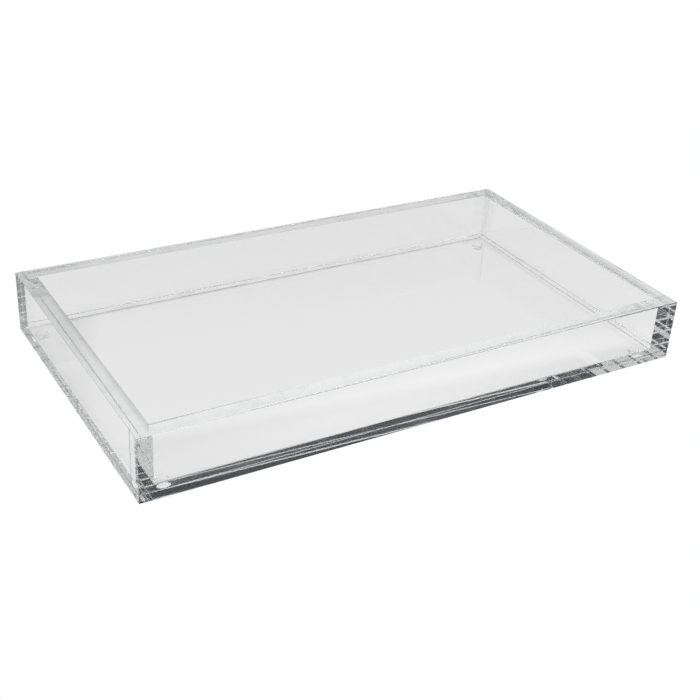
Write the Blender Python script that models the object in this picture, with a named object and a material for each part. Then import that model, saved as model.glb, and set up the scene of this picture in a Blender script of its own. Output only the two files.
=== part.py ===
"""Clear acrylic dresser vanity tray: one base panel, four walls cemented on top of it, four bumper feet.

Frame: metres, +X along the tray's length, +Y towards its back, +Z up. The origin is the centre of the
footprint, on the surface the feet stand on.
"""

import math

import bpy
import bmesh
from mathutils import Vector

# Outside size of the acrylic body
LENGTH = 0.406
WIDTH = 0.230
BODY_HEIGHT = 0.0445

# Sheet the body is cut from
WALL_THICKNESS = 0.012
BASE_THICKNESS = 0.006
FRONT_RIM_ROUND = 0.0007
EDGE_BREAK = 0.0002
EDGE_SEGMENTS = 4

# Clearance left open at each cemented or stuck-on joint
JOINT_GAP = 0.0003

# Self-adhesive bumper feet: a short straight rim, then a dome down to a small flat
FOOT_DIAMETER = 0.0095
FOOT_HEIGHT = 0.0038
FOOT_RIM_HEIGHT = 0.0006
FOOT_FLAT_DIAMETER = 0.0036
FOOT_INSET = 0.0195
FOOT_SEGMENTS = 40
FOOT_DOME_STEPS = 6

# Heights worked out from the sizes above
BASE_UNDERSIDE_Z = FOOT_HEIGHT + JOINT_GAP
BASE_TOP_Z = BASE_UNDERSIDE_Z + BASE_THICKNESS
RIM_Z = BASE_UNDERSIDE_Z + BODY_HEIGHT
WALL_BOTTOM_Z = BASE_TOP_Z + JOINT_GAP
WALL_HEIGHT = RIM_Z - WALL_BOTTOM_Z
WALL_CENTRE_Z = WALL_BOTTOM_Z + WALL_HEIGHT / 2
SIDE_WALL_LENGTH = WIDTH - 2 * (WALL_THICKNESS + JOINT_GAP)

# Open edges of each panel, named by the two faces that meet there. The front edge of the rim is rounded over and
# the others are only broken. Edges that aren't listed are cemented, and stay square.
BASE_EDGES = ("-X-Z", "+X-Z", "-Y-Z", "+Y-Z", "-X-Y", "-X+Y", "+X-Y", "+X+Y")
FRONT_WALL_EDGES = ("-Y+Z", "+Y+Z", "-X+Z", "+X+Z", "-X-Y", "+X-Y")
BACK_WALL_EDGES = ("-Y+Z", "+Y+Z", "-X+Z", "+X+Z", "-X+Y", "+X+Y")
SIDE_WALL_EDGES = ("-X+Z", "+X+Z")


def clear_objects():
    for old in list(bpy.data.objects):
        bpy.data.objects.remove(old)


def clear_plastic(name, colour, roughness, ior):
    """A see-through plastic."""
    material = bpy.data.materials.new(name)
    material.use_nodes = True
    shader = material.node_tree.nodes["Principled BSDF"]
    shader.inputs["Base Color"].default_value = (*colour, 1.0)
    shader.inputs["Roughness"].default_value = roughness
    shader.inputs["Metallic"].default_value = 0.0
    shader.inputs["Transmission Weight"].default_value = 1.0
    shader.inputs["IOR"].default_value = ior
    return material


def acrylic(name):
    return clear_plastic(name + "_acrylic", colour=(0.93, 0.96, 0.95), roughness=0.02, ior=1.49)


def polyurethane(name):
    return clear_plastic(name + "_polyurethane", colour=(0.92, 0.93, 0.91), roughness=0.12, ior=1.50)


def face_name(face):
    """+X, -X, +Y, -Y, +Z or -Z: the row axis the face looks along."""
    axis = max(range(3), key=lambda i: abs(face.normal[i]))
    return ("+" if face.normal[axis] > 0 else "-") + "XYZ"[axis]


def edge_name(edge):
    """The names of the two faces that meet at the edge, in X, Y, Z order, such as -Y+Z."""
    names = sorted((face_name(face) for face in edge.link_faces), key=lambda name: name[1])
    return "".join(names)


def add_object(name, mesh, location, material, parent):
    mesh.materials.append(material)
    piece = bpy.data.objects.new(name, mesh)
    piece.location = location
    piece.parent = parent
    bpy.context.scene.collection.objects.link(piece)
    return piece


def edge_width(panel_name, name):
    """How wide the rounding or the break on a panel's named open edge is."""
    on_front_rim = panel_name == "front_wall" and name == "-Y+Z"
    return FRONT_RIM_ROUND if on_front_rim else EDGE_BREAK


def add_panel(name, size, centre, open_edges, parent):
    """A cut sheet panel, its open edges rounded or broken and its cemented edges left square."""
    bm = bmesh.new()
    bmesh.ops.create_cube(bm, size=1.0)
    bmesh.ops.scale(bm, vec=Vector(size), verts=bm.verts)
    bm.normal_update()
    weight = bm.edges.layers.float.new("bevel_weight_edge")
    for edge in bm.edges:
        if edge_name(edge) in open_edges:
            edge[weight] = edge_width(name, edge_name(edge)) / FRONT_RIM_ROUND
    mesh = bpy.data.meshes.new(name)
    bm.to_mesh(mesh)
    bm.free()
    panel = add_object(name, mesh, centre, acrylic(name), parent)
    bevel = panel.modifiers.new("edges", "BEVEL")
    bevel.limit_method = "WEIGHT"
    bevel.width = FRONT_RIM_ROUND
    bevel.segments = EDGE_SEGMENTS
    return panel


def foot_profile():
    """(radius, height) points up the foot: the standing flat's edge, the dome, the straight rim."""
    rim_radius = FOOT_DIAMETER / 2
    flat_radius = FOOT_FLAT_DIAMETER / 2
    dome_height = FOOT_HEIGHT - FOOT_RIM_HEIGHT
    # The dome is part of a sphere on the foot's axis that passes through the rim and the flat's edge.
    sphere_z = (rim_radius**2 - flat_radius**2 + dome_height**2) / (2 * dome_height)
    sphere_radius = math.hypot(flat_radius, sphere_z)
    start = math.asin(flat_radius / sphere_radius)
    end = math.asin(rim_radius / sphere_radius)
    profile = []
    for step in range(FOOT_DOME_STEPS + 1):
        angle = start + (end - start) * step / FOOT_DOME_STEPS
        profile.append((sphere_radius * math.sin(angle), sphere_z - sphere_radius * math.cos(angle)))
    profile.append((rim_radius, FOOT_HEIGHT))
    return profile


def add_foot(name, x, y, parent):
    """A turned bumper, closed by its flat below and its stuck-on face above."""
    bm = bmesh.new()
    rings = []
    for radius, height in foot_profile():
        ring = []
        for step in range(FOOT_SEGMENTS):
            angle = 2 * math.pi * step / FOOT_SEGMENTS
            ring.append(bm.verts.new((radius * math.cos(angle), radius * math.sin(angle), height)))
        rings.append(ring)
    for lower, upper in zip(rings, rings[1:]):
        for step in range(FOOT_SEGMENTS):
            following = (step + 1) % FOOT_SEGMENTS
            bm.faces.new((lower[step], lower[following], upper[following], upper[step]))
    bm.faces.new(rings[0][::-1])
    bm.faces.new(rings[-1])
    mesh = bpy.data.meshes.new(name)
    bm.to_mesh(mesh)
    bm.free()
    mesh.shade_smooth()
    mesh.set_sharp_from_angle(angle=math.radians(30))
    return add_object(name, mesh, (x, y, 0.0), polyurethane(name), parent)


def build_body(parent):
    """The base panel, and the four walls that stand on it: long walls full length, side walls between."""
    add_panel(
        "base_panel",
        size=(LENGTH, WIDTH, BASE_THICKNESS),
        centre=(0.0, 0.0, BASE_UNDERSIDE_Z + BASE_THICKNESS / 2),
        open_edges=BASE_EDGES,
        parent=parent,
    )
    long_wall_y = (WIDTH - WALL_THICKNESS) / 2
    side_wall_x = (LENGTH - WALL_THICKNESS) / 2
    for name, side, open_edges in (("front_wall", -1, FRONT_WALL_EDGES), ("back_wall", 1, BACK_WALL_EDGES)):
        add_panel(
            name,
            size=(LENGTH, WALL_THICKNESS, WALL_HEIGHT),
            centre=(0.0, side * long_wall_y, WALL_CENTRE_Z),
            open_edges=open_edges,
            parent=parent,
        )
    for name, side in (("left_wall", -1), ("right_wall", 1)):
        add_panel(
            name,
            size=(WALL_THICKNESS, SIDE_WALL_LENGTH, WALL_HEIGHT),
            centre=(side * side_wall_x, 0.0, WALL_CENTRE_Z),
            open_edges=SIDE_WALL_EDGES,
            parent=parent,
        )


def build_feet(parent):
    """One bumper under each corner of the base panel."""
    for y_name, y_side in (("front", -1), ("back", 1)):
        for x_name, x_side in (("left", -1), ("right", 1)):
            add_foot(
                f"foot_{y_name}_{x_name}",
                x=x_side * (LENGTH / 2 - FOOT_INSET),
                y=y_side * (WIDTH / 2 - FOOT_INSET),
                parent=parent,
            )


def main():
    clear_objects()
    tray = bpy.data.objects.new("tray", None)
    bpy.context.scene.collection.objects.link(tray)
    build_body(tray)
    build_feet(tray)


main()
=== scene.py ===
"""The looks of a clear acrylic dresser vanity tray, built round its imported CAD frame.

Every panel is rebuilt from its CAD box with fine edge breaks and with its cemented faces closed up to
hairline joints, so that light passes from panel to panel as it does in solvent-cemented acrylic.
"""

import math

import bpy
import bmesh
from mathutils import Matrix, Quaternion, Vector


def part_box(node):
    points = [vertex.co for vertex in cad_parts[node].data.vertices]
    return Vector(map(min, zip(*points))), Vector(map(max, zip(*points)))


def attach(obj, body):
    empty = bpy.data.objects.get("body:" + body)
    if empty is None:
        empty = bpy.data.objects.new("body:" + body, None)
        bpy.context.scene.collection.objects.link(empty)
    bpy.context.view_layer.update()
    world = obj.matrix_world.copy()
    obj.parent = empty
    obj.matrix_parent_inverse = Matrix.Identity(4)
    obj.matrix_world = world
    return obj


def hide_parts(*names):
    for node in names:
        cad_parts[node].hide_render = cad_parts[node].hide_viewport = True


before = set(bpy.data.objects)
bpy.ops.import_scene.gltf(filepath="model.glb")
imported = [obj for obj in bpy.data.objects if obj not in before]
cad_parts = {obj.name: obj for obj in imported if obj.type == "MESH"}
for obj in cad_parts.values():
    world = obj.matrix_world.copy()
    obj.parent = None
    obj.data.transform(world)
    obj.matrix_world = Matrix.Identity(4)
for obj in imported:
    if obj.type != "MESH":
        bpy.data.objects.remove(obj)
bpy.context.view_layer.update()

BODY = "root"

# Panels
WALLS = ("front_wall", "back_wall", "left_wall", "right_wall")
PANELS = ("base_panel",) + WALLS
# The direction of the one face on each of these panels that its neighbours cover only in part
WELL_SIDE = {"base_panel": (0, 0, 1), "front_wall": (0, 1, 0), "back_wall": (0, -1, 0)}
HAIRLINE = 0.00003          # what is left of a joint once it is cemented
NEIGHBOUR_REACH = 0.001     # a face with another panel this close in front of it is cemented
CORNER_MARGIN = 0.001       # an edge whose middle is this far off both ends of the wall's height is upright
SQUARE_ON = 0.999           # the least a square face's normal measures along its own axis
LEAST_CORNER_ANGLE = 1.0    # radians between the faces at a box's edge, and not at a cut across a face
FRONT_RIM_ROUND = 0.0007    # rounding along the front edge of the rim
RIM_BREAK = 0.0001          # break on the rim's other edges
EDGE_BREAK = 0.0002         # break on the edges below the rim
EDGE_SEGMENTS = 4

# Bumper feet
FEET = ("foot_front_left", "foot_front_right", "foot_back_left", "foot_back_right")
FOOT_SEGMENTS = 72
FOOT_DOME_STEPS = 14
FOOT_RIM_SHARE = 0.16       # share of the foot's height that is its straight rim
FOOT_FLAT_SHARE = 0.38      # standing flat's diameter as a share of the foot's
FOOT_SHARP_ANGLE = math.radians(35.0)
ADHESIVE_INSET = 0.00025    # the adhesive disc stops this far inside the foot's rim

# Acrylic sheet
ACRYLIC_IOR = 1.49
ABSORPTION_COLOUR = (0.05, 0.115, 0.10, 1.0)
ABSORPTION_PER_METRE = 1.0
BROAD_WAVE = 0.000010       # height of the cast sheet's waves
FINE_WAVE = 0.0000008
SCRATCH_STRETCHES = ((900.0, 22.0, 22.0), (22.0, 900.0, 22.0))
SCRATCH_ROUGHNESS = 0.04

# Solvent cement
BOND_TINT = (0.99, 0.993, 0.992, 1.0)
WHITENED_TINT = (0.97, 0.97, 0.96, 1.0)
SEAM_HAZE = 0.03
SEAM_CLOUD = 0.20           # haze where the cement has whitened
SEAM_HAZE_SHARE = 0.6       # share of the haze and the bubbles that shows
BUBBLE_CELLS = 420.0        # bubbles and gaps between them, per metre
BUBBLES_MISSING = 0.90      # share of those places with no bubble
BUBBLE_SIZE = 0.22          # the largest bubble's radius, in cells
DRY_EDGE_LEAST = 0.0011     # width of the strip that the cement misses, along the joints' outer edge
DRY_EDGE_MOST = 0.0014
BEAD_WIDTH = 0.0006         # cement crept out along both sides of the base seam
BEAD_RAGGED = 0.0006        # how much that width varies
BEAD_FADE = 0.0001          # how softly the cement's edge ends
INNER_BEAD_STRENGTH = 0.75
OUTER_BEAD_STRENGTH = 0.2   # less is left outside, where the faces were polished
LEFT_BEAD_SHARE = 0.3       # the left wall's inner seam is the cleanest
LEFT_BEAD_REACH = 0.01      # how far from that wall the cement gets back to full strength

# Bumpers' plastic, and the adhesive that holds them
POLYURETHANE_TINT = (0.99, 0.99, 0.985, 1.0)
POLYURETHANE_CLOUD_TINT = (0.93, 0.93, 0.91, 1.0)
ADHESIVE_TINT = (0.95, 0.95, 0.93, 1.0)
POLYURETHANE_IOR = 1.50
POLYURETHANE_ROUGHNESS = 0.28
ORANGE_PEEL = 0.00002       # height of the orange-peel surface
SEEN_STRAIGHT = 0.55        # how much of a bumper's skin the eye looks straight through

# Camera, relative to the middle of the acrylic's underside
CAMERA_AZIMUTH = math.radians(-31.81)
CAMERA_ELEVATION = math.radians(29.52)
CAMERA_ROLL = math.radians(3.59)
CAMERA_DISTANCE = 0.8558
CAMERA_AIM_OFFSET = Vector((-0.0027, -0.0103, 0.0))
CAMERA_LENS_MM = 61.61
SENSOR_MM = 36.0

# Floor, which gives off its own light: even to the camera, and to every other ray with a painted falloff, a
# painted pool of light and a painted edge shadow
FLOOR_SIZE = 12.0
FLOOR_DIRECT = 1.0          # light that the camera sees directly
FLOOR_NEAR = 0.82           # light that every other ray sees, in front
FLOOR_FAR = 0.77            # and at the back
FLOOR_NEAR_Y = -0.03
FLOOR_FAR_Y = 0.25
POOL_GAIN = 1.19            # how much brighter the floor is in the key light's pool, under the front wall
POOL_Y = -0.08
POOL_LENGTHENED = 0.15      # the pool's distances along X count this much
POOL_CORE = 0.01
POOL_RADIUS = 0.045
EDGE_SHADOW = 0.22          # how dark the floor is right under the tray's outer edge
EDGE_SHADOW_CORE = 0.001
EDGE_SHADOW_REACH = 0.004

# Studio. Heights are the upward part of a unit direction.
ROOM_COLOUR = (0.012, 0.013, 0.025, 1.0)
SWEEP_COLOUR = (0.72, 0.72, 0.72, 1.0)
SWEEP_AZIMUTH = math.radians(5.0)
SWEEP_LEFT_EDGE = math.radians(17.5)
SWEEP_RISE = 0.70           # the sweep's top edge, as a slope
SWEEP_TOP_FADE = 0.005      # how softly that edge ends
SWEEP_SIDE_FADE = 0.012
KEY_COLOUR = (1.0, 1.0, 1.0, 1.0)
KEY_AZIMUTH = math.radians(160.0)
KEY_SIDES = (0.45, 0.65)    # how far a direction points at the key light, where its sides start and end
KEY_LOW_EDGE = (0.45, 0.49)
KEY_HIGH_EDGE = (0.60, 0.64)
OVERHEAD_COLOUR = (1.8, 1.8, 1.8, 1.0)
OVERHEAD_EDGE = (0.70, 0.80)
DIRECT_COLOUR = (FLOOR_DIRECT, FLOOR_DIRECT, FLOOR_DIRECT, 1.0)

LIGHT_BOUNCES = 96          # enough for light trapped in the sheet to run from one edge to the other


# ---------------------------------------------------------------- node helpers

class Nodes:
    """A short way to add nodes to a material's or a world's tree and to link them."""

    def __init__(self, tree):
        self.tree = tree
        tree.nodes.clear()

    def add(self, kind, **settings):
        node = self.tree.nodes.new(kind)
        for name, value in settings.items():
            setattr(node, name, value)
        return node

    def put(self, socket, value):
        """Sets a socket to a number or colour, or links another node's socket to it."""
        if isinstance(value, bpy.types.NodeSocket):
            self.tree.links.new(value, socket)
        else:
            socket.default_value = value

    def math(self, operation, a, b=0.0, c=0.0):
        node = self.add("ShaderNodeMath", operation=operation)
        for socket, value in zip(node.inputs, (a, b, c)):
            self.put(socket, value)
        return node.outputs[0]

    def remap(self, value, low, high, to_low=0.0, to_high=1.0):
        node = self.add("ShaderNodeMapRange", clamp=True)
        for name, v in (
            ("Value", value),
            ("From Min", low),
            ("From Max", high),
            ("To Min", to_low),
            ("To Max", to_high),
        ):
            self.put(node.inputs[name], v)
        return node.outputs["Result"]

    def dot(self, a, b):
        node = self.add("ShaderNodeVectorMath", operation="DOT_PRODUCT")
        self.put(node.inputs[0], a)
        self.put(node.inputs[1], b)
        return node.outputs["Value"]

    def outside(self, x, y, corner):
        """How far a point lies outside the rectangle round the origin that reaches corner, or less than 0."""
        past_x = self.math("SUBTRACT", self.math("ABSOLUTE", x), corner[0])
        past_y = self.math("SUBTRACT", self.math("ABSOLUTE", y), corner[1])
        return self.math("MAXIMUM", past_x, past_y)

    def mix_colour(self, factor, first, second):
        node = self.add("ShaderNodeMix", data_type="RGBA")
        self.put(node.inputs[0], factor)
        self.put(node.inputs[6], first)
        self.put(node.inputs[7], second)
        return node.outputs[2]

    def noise(self, vector, scale, detail):
        node = self.add("ShaderNodeTexNoise")
        self.put(node.inputs["Vector"], vector)
        self.put(node.inputs["Scale"], scale)
        self.put(node.inputs["Detail"], detail)
        return node.outputs["Fac"]

    def stretched(self, vector, scale):
        node = self.add("ShaderNodeMapping")
        self.put(node.inputs["Vector"], vector)
        self.put(node.inputs["Scale"], scale)
        return node.outputs["Vector"]

    def bump(self, height):
        """A surface normal for a height in metres."""
        node = self.add("ShaderNodeBump")
        self.put(node.inputs["Strength"], 1.0)
        self.put(node.inputs["Distance"], 1.0)
        self.put(node.inputs["Height"], height)
        return node.outputs["Normal"]

    def mix_shader(self, factor, first, second):
        node = self.add("ShaderNodeMixShader")
        self.put(node.inputs[0], factor)
        self.put(node.inputs[1], first)
        self.put(node.inputs[2], second)
        return node.outputs[0]


# ---------------------------------------------------------------- materials

def new_material(name):
    material = bpy.data.materials.new(name)
    material.use_nodes = True
    return material, Nodes(material.node_tree)


def foot_patch(n, x, y, z):
    """1 where a foot is stuck to the base's underside. The feet are symmetric about the origin."""
    low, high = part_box("foot_back_right")
    centre, radius = (low + high) / 2, (high.x - low.x) / 2
    from_x = n.math("SUBTRACT", n.math("ABSOLUTE", x), centre.x)
    from_y = n.math("SUBTRACT", n.math("ABSOLUTE", y), centre.y)
    squared = n.math("ADD", n.math("MULTIPLY", from_x, from_x), n.math("MULTIPLY", from_y, from_y))
    near = n.math("LESS_THAN", squared, (radius - ADHESIVE_INSET) ** 2)
    underside = n.math("LESS_THAN", z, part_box("base_panel")[0].z + HAIRLINE)
    return n.math("MULTIPLY", near, underside)


def cement_lines(n, position, x, y, z):
    """How much of the surface is whitened by cement that has crept out on both sides of the base seam."""
    well = (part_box("right_wall")[0].x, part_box("back_wall")[0].y)
    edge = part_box("base_panel")[1]
    left_wall_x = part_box("left_wall")[1].x
    ragged = n.math("MULTIPLY", n.noise(position, scale=150.0, detail=1.0), BEAD_RAGGED)
    width = n.math("ADD", ragged, BEAD_WIDTH - BEAD_RAGGED / 2)
    off_seam = n.math("ABSOLUTE", n.math("SUBTRACT", z, edge.z))
    lines = []
    for corner in (well, edge):
        beside = n.math("ABSOLUTE", n.outside(x, y, corner))
        away = n.math("SUBTRACT", n.math("MAXIMUM", beside, off_seam), width)
        lines.append(n.remap(away, -BEAD_FADE, BEAD_FADE, to_low=1.0, to_high=0.0))
    supply = n.noise(position, scale=24.0, detail=2.0)
    patchy = n.remap(supply, low=0.40, high=0.60, to_low=0.35, to_high=1.0)
    clean_end = left_wall_x + LEFT_BEAD_REACH
    left_share = n.remap(x, left_wall_x, clean_end, to_low=LEFT_BEAD_SHARE, to_high=1.0)
    inner = n.math("MULTIPLY", n.math("MULTIPLY", lines[0], left_share), INNER_BEAD_STRENGTH)
    outer = n.math("MULTIPLY", lines[1], OUTER_BEAD_STRENGTH)
    return n.math("MULTIPLY", n.math("MAXIMUM", inner, outer), patchy)


def dry_edge(n, position, x, y):
    """1 along the outer edge of the joints, where the cement has run short and the faces don't bond."""
    inward = n.math("MULTIPLY", n.outside(x, y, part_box("base_panel")[1]), -1.0)
    uneven = n.noise(position, scale=60.0, detail=2.0)
    width = n.remap(uneven, low=0.35, high=0.65, to_low=DRY_EDGE_LEAST, to_high=DRY_EDGE_MOST)
    return n.math("LESS_THAN", inward, width)


def bubbles(n, position):
    """1 in the few small bubbles that a cemented face has caught."""
    cells = n.add("ShaderNodeTexVoronoi", feature="F1")
    n.put(cells.inputs["Vector"], position)
    n.put(cells.inputs["Scale"], BUBBLE_CELLS)
    draws = n.add("ShaderNodeSeparateColor")
    n.put(draws.inputs[0], cells.outputs["Color"])
    chosen = n.math("GREATER_THAN", draws.outputs[0], BUBBLES_MISSING)
    size = n.math("MULTIPLY", draws.outputs[1], BUBBLE_SIZE)
    return n.math("MULTIPLY", chosen, n.math("LESS_THAN", cells.outputs["Distance"], size))


def sheet_waviness(n, position):
    """The very shallow waves of cast sheet, as a surface normal."""
    broad = n.math("MULTIPLY", n.noise(position, scale=28.0, detail=1.0), BROAD_WAVE)
    fine = n.math("MULTIPLY", n.noise(position, scale=160.0, detail=2.0), FINE_WAVE)
    return n.bump(n.math("ADD", broad, fine))


def scratches(n, position):
    """Hairline handling scratches, as roughness: the peaks of two noises stretched into fine lines."""
    marks = []
    for stretch in SCRATCH_STRETCHES:
        level = n.noise(n.stretched(position, stretch), scale=1.0, detail=1.0)
        marks.append(n.remap(level, low=0.70, high=0.74, to_low=0.0, to_high=SCRATCH_ROUGHNESS))
    return n.math("ADD", marks[0], marks[1])


def polished_surface(n, position):
    glass = n.add("ShaderNodeBsdfGlass")
    n.put(glass.inputs["Color"], (1.0, 1.0, 1.0, 1.0))
    n.put(glass.inputs["Roughness"], scratches(n, position))
    n.put(glass.inputs["IOR"], ACRYLIC_IOR)
    n.put(glass.inputs["Normal"], sheet_waviness(n, position))
    return glass.outputs[0]


def whitened_cement(n):
    backlit = n.add("ShaderNodeBsdfTranslucent")
    n.put(backlit.inputs["Color"], WHITENED_TINT)
    frontlit = n.add("ShaderNodeBsdfDiffuse")
    n.put(frontlit.inputs["Color"], WHITENED_TINT)
    return n.mix_shader(0.5, backlit.outputs[0], frontlit.outputs[0])


def bonded_surface(n, position, cemented, whitened):
    """Lets light straight through, but for haze and bubbles where two panels are cemented."""
    straight = n.add("ShaderNodeBsdfTransparent")
    n.put(straight.inputs["Color"], BOND_TINT)
    patches = n.noise(position, scale=70.0, detail=3.0)
    cloud = n.remap(patches, low=0.50, high=0.72, to_low=SEAM_HAZE, to_high=SEAM_CLOUD)
    haze = n.math("MULTIPLY", n.math("MAXIMUM", bubbles(n, position), cloud), SEAM_HAZE_SHARE)
    return n.mix_shader(n.math("MULTIPLY", haze, cemented), straight.outputs[0], whitened)


def acrylic(name):
    """Polished clear sheet. Bonded faces let light straight through; the rest refract it."""
    material, n = new_material(name)
    position = n.add("ShaderNodeTexCoord").outputs["Object"]
    split = n.add("ShaderNodeSeparateXYZ")
    n.put(split.inputs[0], position)
    x, y, z = (split.outputs[axis] for axis in "XYZ")
    cemented = n.add("ShaderNodeAttribute", attribute_name="cemented").outputs["Fac"]
    joined = n.math("MULTIPLY", cemented, n.math("SUBTRACT", 1.0, dry_edge(n, position, x, y)))
    bonded = n.math("MAXIMUM", joined, foot_patch(n, x, y, z))
    whitened = whitened_cement(n)
    bond = bonded_surface(n, position, cemented, whitened)
    surface = n.mix_shader(bonded, polished_surface(n, position), bond)
    surface = n.mix_shader(cement_lines(n, position, x, y, z), surface, whitened)
    absorption = n.add("ShaderNodeVolumeAbsorption")
    n.put(absorption.inputs["Color"], ABSORPTION_COLOUR)
    n.put(absorption.inputs["Density"], ABSORPTION_PER_METRE)
    out = n.add("ShaderNodeOutputMaterial")
    n.put(out.inputs["Surface"], surface)
    n.put(out.inputs["Volume"], absorption.outputs[0])
    return material


def polyurethane(name):
    """The bumpers' soft plastic: clear, a little cloudy, with a fine orange-peel surface."""
    material, n = new_material(name)
    position = n.add("ShaderNodeTexCoord").outputs["Object"]
    stuck_on = n.add("ShaderNodeAttribute", attribute_name="cemented").outputs["Fac"]
    peel = n.math("MULTIPLY", n.noise(position, scale=1800.0, detail=2.0), ORANGE_PEEL)
    glass = n.add("ShaderNodeBsdfGlass")
    n.put(glass.inputs["Color"], POLYURETHANE_TINT)
    n.put(glass.inputs["Roughness"], POLYURETHANE_ROUGHNESS)
    n.put(glass.inputs["IOR"], POLYURETHANE_IOR)
    n.put(glass.inputs["Normal"], n.bump(peel))
    cloud = n.add("ShaderNodeBsdfTranslucent")
    n.put(cloud.inputs["Color"], POLYURETHANE_CLOUD_TINT)
    uneven = n.noise(position, scale=900.0, detail=2.0)
    cloudiness = n.remap(uneven, low=0.3, high=0.7, to_low=0.25, to_high=0.45)
    cloudy = n.mix_shader(cloudiness, glass.outputs[0], cloud.outputs[0])
    straight = n.add("ShaderNodeBsdfTransparent")
    skin = n.mix_shader(SEEN_STRAIGHT, cloudy, straight.outputs[0])
    out = n.add("ShaderNodeOutputMaterial")
    n.put(out.inputs["Surface"], n.mix_shader(stuck_on, skin, straight.outputs[0]))
    return material


def adhesive(name):
    """A clear film with a little uneven haze."""
    material, n = new_material(name)
    position = n.add("ShaderNodeTexCoord").outputs["Object"]
    straight = n.add("ShaderNodeBsdfTransparent")
    haze = n.add("ShaderNodeBsdfTranslucent")
    n.put(haze.inputs["Color"], ADHESIVE_TINT)
    uneven = n.noise(position, scale=700.0, detail=3.0)
    amount = n.remap(uneven, low=0.35, high=0.65, to_low=0.03, to_high=0.12)
    out = n.add("ShaderNodeOutputMaterial")
    n.put(out.inputs["Surface"], n.mix_shader(amount, straight.outputs[0], haze.outputs[0]))
    return material


def floor_seen_through(n, x, y):
    """The light every ray but the camera's sees: a falloff, the key light's pool, the tray's edge shadow."""
    falloff = n.remap(y, FLOOR_NEAR_Y, FLOOR_FAR_Y, to_low=FLOOR_NEAR, to_high=FLOOR_FAR)
    off_x = n.math("MULTIPLY", x, POOL_LENGTHENED)
    off_y = n.math("SUBTRACT", y, POOL_Y)
    spread = n.math("ADD", n.math("MULTIPLY", off_x, off_x), n.math("MULTIPLY", off_y, off_y))
    # painted pool of light, where the key light would fall under the front wall
    pool = n.remap(n.math("SQRT", spread), POOL_CORE, POOL_RADIUS, to_low=POOL_GAIN, to_high=1.0)
    off_edge = n.math("ABSOLUTE", n.outside(x, y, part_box("base_panel")[1]))
    # painted shadow along the line under the tray's outer edge
    shadow = n.remap(off_edge, EDGE_SHADOW_CORE, EDGE_SHADOW_REACH, to_low=1.0 - EDGE_SHADOW, to_high=1.0)
    return n.math("MULTIPLY", n.math("MULTIPLY", falloff, pool), shadow)


def pale_floor(name):
    """A white table that gives off its own light: blown out to the camera itself, pale grey with a painted
    falloff, light pool and edge shadow where the acrylic shows it.
    """
    material, n = new_material(name)
    split = n.add("ShaderNodeSeparateXYZ")
    n.put(split.inputs[0], n.add("ShaderNodeTexCoord").outputs["Object"])
    strength = n.add("ShaderNodeMix", data_type="FLOAT")
    n.put(strength.inputs["Factor"], n.add("ShaderNodeLightPath").outputs["Is Camera Ray"])
    n.put(strength.inputs["A"], floor_seen_through(n, split.outputs["X"], split.outputs["Y"]))
    n.put(strength.inputs["B"], FLOOR_DIRECT)
    glow = n.add("ShaderNodeEmission")
    n.put(glow.inputs["Strength"], strength.outputs["Result"])
    out = n.add("ShaderNodeOutputMaterial")
    n.put(out.inputs["Surface"], glow.outputs[0])
    return material


# ---------------------------------------------------------------- panels

def inside(point, low, high):
    return all(low[i] < point[i] < high[i] for i in range(3))


def is_cemented(face, name):
    """True for a square face that has another panel right in front of it."""
    square = max(abs(part) for part in face.normal) > SQUARE_ON
    probe = face.center + face.normal * NEIGHBOUR_REACH
    return square and any(inside(probe, *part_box(other)) for other in PANELS if other != name)


def visual_box(name):
    """A panel's CAD box, its cemented sides moved out to leave only a hairline to the neighbour."""
    low, high = (Vector(corner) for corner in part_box(name))
    if name in WALLS:
        low.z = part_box("base_panel")[1].z + HAIRLINE
    if name in ("left_wall", "right_wall"):
        low.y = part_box("front_wall")[1].y + HAIRLINE
        high.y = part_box("back_wall")[0].y - HAIRLINE
    return low, high


def split_at_neighbours(bm, name):
    """Cuts the face that neighbours cover only in part along the sides of the well."""
    if name not in WELL_SIDE:
        return
    side = Vector(WELL_SIDE[name])
    cuts = [(0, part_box("left_wall")[1].x), (0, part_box("right_wall")[0].x)]
    if name == "base_panel":
        cuts += [(1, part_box("front_wall")[1].y), (1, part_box("back_wall")[0].y)]
    for axis, at in cuts:
        faces = [face for face in bm.faces if face.normal.dot(side) > SQUARE_ON]
        parts = set(faces)
        for face in faces:
            parts.update(face.edges)
            parts.update(face.verts)
        plane = Vector((0, 0, 0))
        plane[axis] = 1.0
        bmesh.ops.bisect_plane(bm, geom=list(parts), plane_co=plane * at, plane_no=plane)


def edge_width(point):
    """How wide the edge that a point lies on is rounded or broken. The well's upright corners stay square."""
    low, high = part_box("front_wall")
    on_rim = abs(point.z - high.z) < HAIRLINE
    if on_rim:
        return FRONT_RIM_ROUND if abs(point.y - low.y) < HAIRLINE else RIM_BREAK
    off_outside = abs(point.x) < high.x - HAIRLINE and abs(point.y) < abs(low.y) - HAIRLINE
    upright = low.z + CORNER_MARGIN < point.z < high.z - CORNER_MARGIN
    return 0.0 if off_outside and upright else EDGE_BREAK


def weigh_edges(bm):
    """Gives each of the box's edges its bevel weight."""
    weight = bm.edges.layers.float.new("bevel_weight_edge")
    for edge in bm.edges:
        if len(edge.link_faces) == 2 and edge.calc_face_angle(0.0) > LEAST_CORNER_ANGLE:
            middle = (edge.verts[0].co + edge.verts[1].co) / 2
            edge[weight] = edge_width(middle) / FRONT_RIM_ROUND


def panel_mesh(name):
    low, high = visual_box(name)
    bm = bmesh.new()
    bmesh.ops.create_cube(bm, size=1.0)
    bmesh.ops.scale(bm, vec=high - low, verts=bm.verts)
    bmesh.ops.translate(bm, vec=(low + high) / 2, verts=bm.verts)
    bm.normal_update()
    split_at_neighbours(bm, name)
    bm.normal_update()
    weigh_edges(bm)
    mesh = bpy.data.meshes.new(name)
    bm.to_mesh(mesh)
    bm.free()
    return mesh


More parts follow.
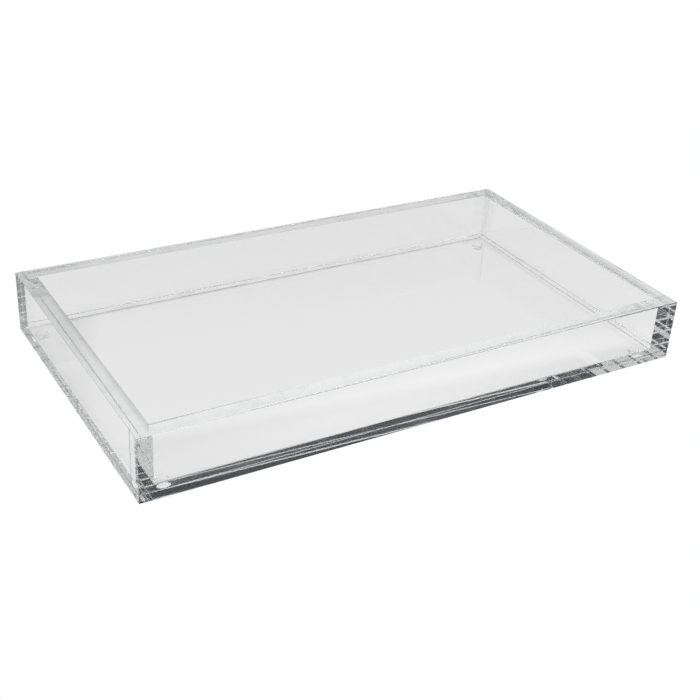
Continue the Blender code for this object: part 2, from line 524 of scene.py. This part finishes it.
def apply_modifiers(piece):
    old = piece.data
    mesh = bpy.data.meshes.new_from_object(piece.evaluated_get(bpy.context.evaluated_depsgraph_get()))
    piece.modifiers.clear()
    piece.data = mesh
    mesh.name = piece.name
    bpy.data.meshes.remove(old)


def add_panel(name, material):
    panel = bpy.data.objects.new(name + "_sheet", panel_mesh(name))
    bpy.context.scene.collection.objects.link(panel)
    bevel = panel.modifiers.new("edge_break", "BEVEL")
    bevel.limit_method = "WEIGHT"
    bevel.width = FRONT_RIM_ROUND
    bevel.segments = EDGE_SEGMENTS
    apply_modifiers(panel)
    flag = panel.data.attributes.new("cemented", "FLOAT", "FACE")
    flag.data.foreach_set("value", [1.0 if is_cemented(face, name) else 0.0 for face in panel.data.polygons])
    panel.data.materials.clear()
    panel.data.materials.append(material)
    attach(panel, BODY)
    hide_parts(name)


# ---------------------------------------------------------------- feet

def turned(name, profile, centre, segments, material):
    """A closed solid turned about the vertical through centre. The profile is (radius, height) upwards."""
    bm = bmesh.new()
    rings = []
    for radius, height in profile:
        ring = []
        for step in range(segments):
            angle = 2 * math.pi * step / segments
            x, y = radius * math.cos(angle), radius * math.sin(angle)
            ring.append(bm.verts.new((centre.x + x, centre.y + y, height)))
        rings.append(ring)
    for lower, upper in zip(rings, rings[1:]):
        for step in range(segments):
            following = (step + 1) % segments
            bm.faces.new((lower[step], lower[following], upper[following], upper[step]))
    bm.faces.new(rings[0][::-1])
    bm.faces.new(rings[-1])
    mesh = bpy.data.meshes.new(name)
    bm.to_mesh(mesh)
    bm.free()
    mesh.shade_smooth()
    mesh.set_sharp_from_angle(angle=FOOT_SHARP_ANGLE)
    mesh.materials.append(material)
    piece = bpy.data.objects.new(name, mesh)
    bpy.context.scene.collection.objects.link(piece)
    return piece


def foot_profile(radius, bottom, top):
    """(radius, height) points up the foot: the standing flat's edge, a spherical dome, the straight rim."""
    flat = radius * FOOT_FLAT_SHARE
    rim_z = top - (top - bottom) * FOOT_RIM_SHARE
    rise = rim_z - bottom
    sphere_z = (radius**2 - flat**2 + rise**2) / (2 * rise)
    sphere_radius = math.hypot(flat, sphere_z)
    start, end = math.asin(flat / sphere_radius), math.asin(radius / sphere_radius)
    profile = []
    for step in range(FOOT_DOME_STEPS + 1):
        angle = start + (end - start) * step / FOOT_DOME_STEPS
        profile.append((sphere_radius * math.sin(angle), bottom + sphere_z - sphere_radius * math.cos(angle)))
    profile.append((radius, top))
    return profile


def add_foot(name, material, film):
    """The bumper, and the clear adhesive disc between it and the base."""
    low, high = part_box(name)
    centre, radius = (low + high) / 2, (high.x - low.x) / 2
    dome = turned(name + "_bumper", foot_profile(radius, low.z, high.z), centre, FOOT_SEGMENTS, material)
    flag = dome.data.attributes.new("cemented", "FLOAT", "FACE")
    flag.data.foreach_set("value", [1.0 if face.normal.z > SQUARE_ON else 0.0 for face in dome.data.polygons])
    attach(dome, BODY)
    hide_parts(name)
    film_radius = radius - ADHESIVE_INSET
    film_low, film_high = high.z + HAIRLINE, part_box("base_panel")[0].z - HAIRLINE
    profile = [(film_radius, film_low), (film_radius, film_high)]
    disc = turned(name + "_adhesive", profile, centre, FOOT_SEGMENTS, film)
    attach(disc, BODY)


# ---------------------------------------------------------------- stage

def add_floor():
    mesh = bpy.data.meshes.new("floor")
    half = FLOOR_SIZE / 2
    corners = [(-half, -half, 0), (half, -half, 0), (half, half, 0), (-half, half, 0)]
    mesh.from_pydata(corners, [], [(0, 1, 2, 3)])
    mesh.materials.append(pale_floor("pale_floor"))
    floor = bpy.data.objects.new("floor", mesh)
    bpy.context.scene.collection.objects.link(floor)


def heading(azimuth):
    """The horizontal direction an azimuth from +Y towards +X points in."""
    return Vector((math.sin(azimuth), math.cos(azimuth), 0.0))


def add_studio():
    """A white sweep behind the tray, a softbox in front, a softbox overhead, and a dim room between them."""
    world = bpy.data.worlds.new("studio")
    bpy.context.scene.world = world
    world.use_nodes = True
    n = Nodes(world.node_tree)
    direction = n.add("ShaderNodeTexCoord").outputs["Generated"]
    split = n.add("ShaderNodeSeparateXYZ")
    n.put(split.inputs[0], direction)
    height = split.outputs["Z"]
    back = n.dot(direction, heading(SWEEP_AZIMUTH))
    over_edge = n.math("SUBTRACT", height, n.math("MULTIPLY", back, SWEEP_RISE))
    past_left = n.dot(direction, heading(SWEEP_LEFT_EDGE + math.pi / 2))
    below_edge = n.remap(over_edge, -SWEEP_TOP_FADE, SWEEP_TOP_FADE, to_low=1.0, to_high=0.0)
    sweep = n.math("MULTIPLY", below_edge, n.remap(past_left, -SWEEP_SIDE_FADE, SWEEP_SIDE_FADE))
    low_edge = n.remap(height, *KEY_LOW_EDGE)
    high_edge = n.remap(height, *KEY_HIGH_EDGE, to_low=1.0, to_high=0.0)
    sides = n.remap(n.dot(direction, heading(KEY_AZIMUTH)), *KEY_SIDES)
    key = n.math("MULTIPLY", sides, n.math("MULTIPLY", low_edge, high_edge))
    colour = n.mix_colour(sweep, ROOM_COLOUR, SWEEP_COLOUR)
    colour = n.mix_colour(key, colour, KEY_COLOUR)
    colour = n.mix_colour(n.remap(height, *OVERHEAD_EDGE), colour, OVERHEAD_COLOUR)
    direct = n.add("ShaderNodeLightPath").outputs["Is Camera Ray"]
    background = n.add("ShaderNodeBackground")
    n.put(background.inputs["Color"], n.mix_colour(direct, colour, DIRECT_COLOUR))
    out = n.add("ShaderNodeOutputWorld")
    n.put(out.inputs["Surface"], background.outputs[0])


def add_camera():
    low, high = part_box("base_panel")
    aim = Vector(((low.x + high.x) / 2, (low.y + high.y) / 2, low.z)) + CAMERA_AIM_OFFSET
    forward = Vector((
        -math.sin(CAMERA_AZIMUTH) * math.cos(CAMERA_ELEVATION),
        math.cos(CAMERA_AZIMUTH) * math.cos(CAMERA_ELEVATION),
        -math.sin(CAMERA_ELEVATION),
    ))
    lens = bpy.data.cameras.new("camera")
    lens.lens = CAMERA_LENS_MM
    lens.sensor_width = SENSOR_MM
    camera = bpy.data.objects.new("camera", lens)
    camera.location = aim - forward * CAMERA_DISTANCE
    camera.rotation_mode = "QUATERNION"
    camera.rotation_quaternion = forward.to_track_quat("-Z", "Y") @ Quaternion((0, 0, 1), CAMERA_ROLL)
    bpy.context.scene.collection.objects.link(camera)
    bpy.context.scene.camera = camera


def set_light_paths():
    """Enough bounces for light that is trapped inside the sheet, and a plain response to brightness."""
    bpy.context.scene.view_settings.view_transform = "Standard"
    cycles = bpy.context.scene.cycles
    cycles.max_bounces = LIGHT_BOUNCES
    cycles.transmission_bounces = LIGHT_BOUNCES
    cycles.glossy_bounces = LIGHT_BOUNCES
    cycles.transparent_max_bounces = LIGHT_BOUNCES
    cycles.diffuse_bounces = 4
    cycles.caustics_refractive = True
    cycles.caustics_reflective = True
    cycles.sample_clamp_indirect = 10.0
    cycles.use_denoising = True


sheet = acrylic("clear_acrylic")
for panel_name in PANELS:
    add_panel(panel_name, sheet)
bumper = polyurethane("clear_polyurethane")
film = adhesive("adhesive_film")
for foot_name in FEET:
    add_foot(foot_name, bumper, film)
add_floor()
add_studio()
add_camera()
set_light_paths()
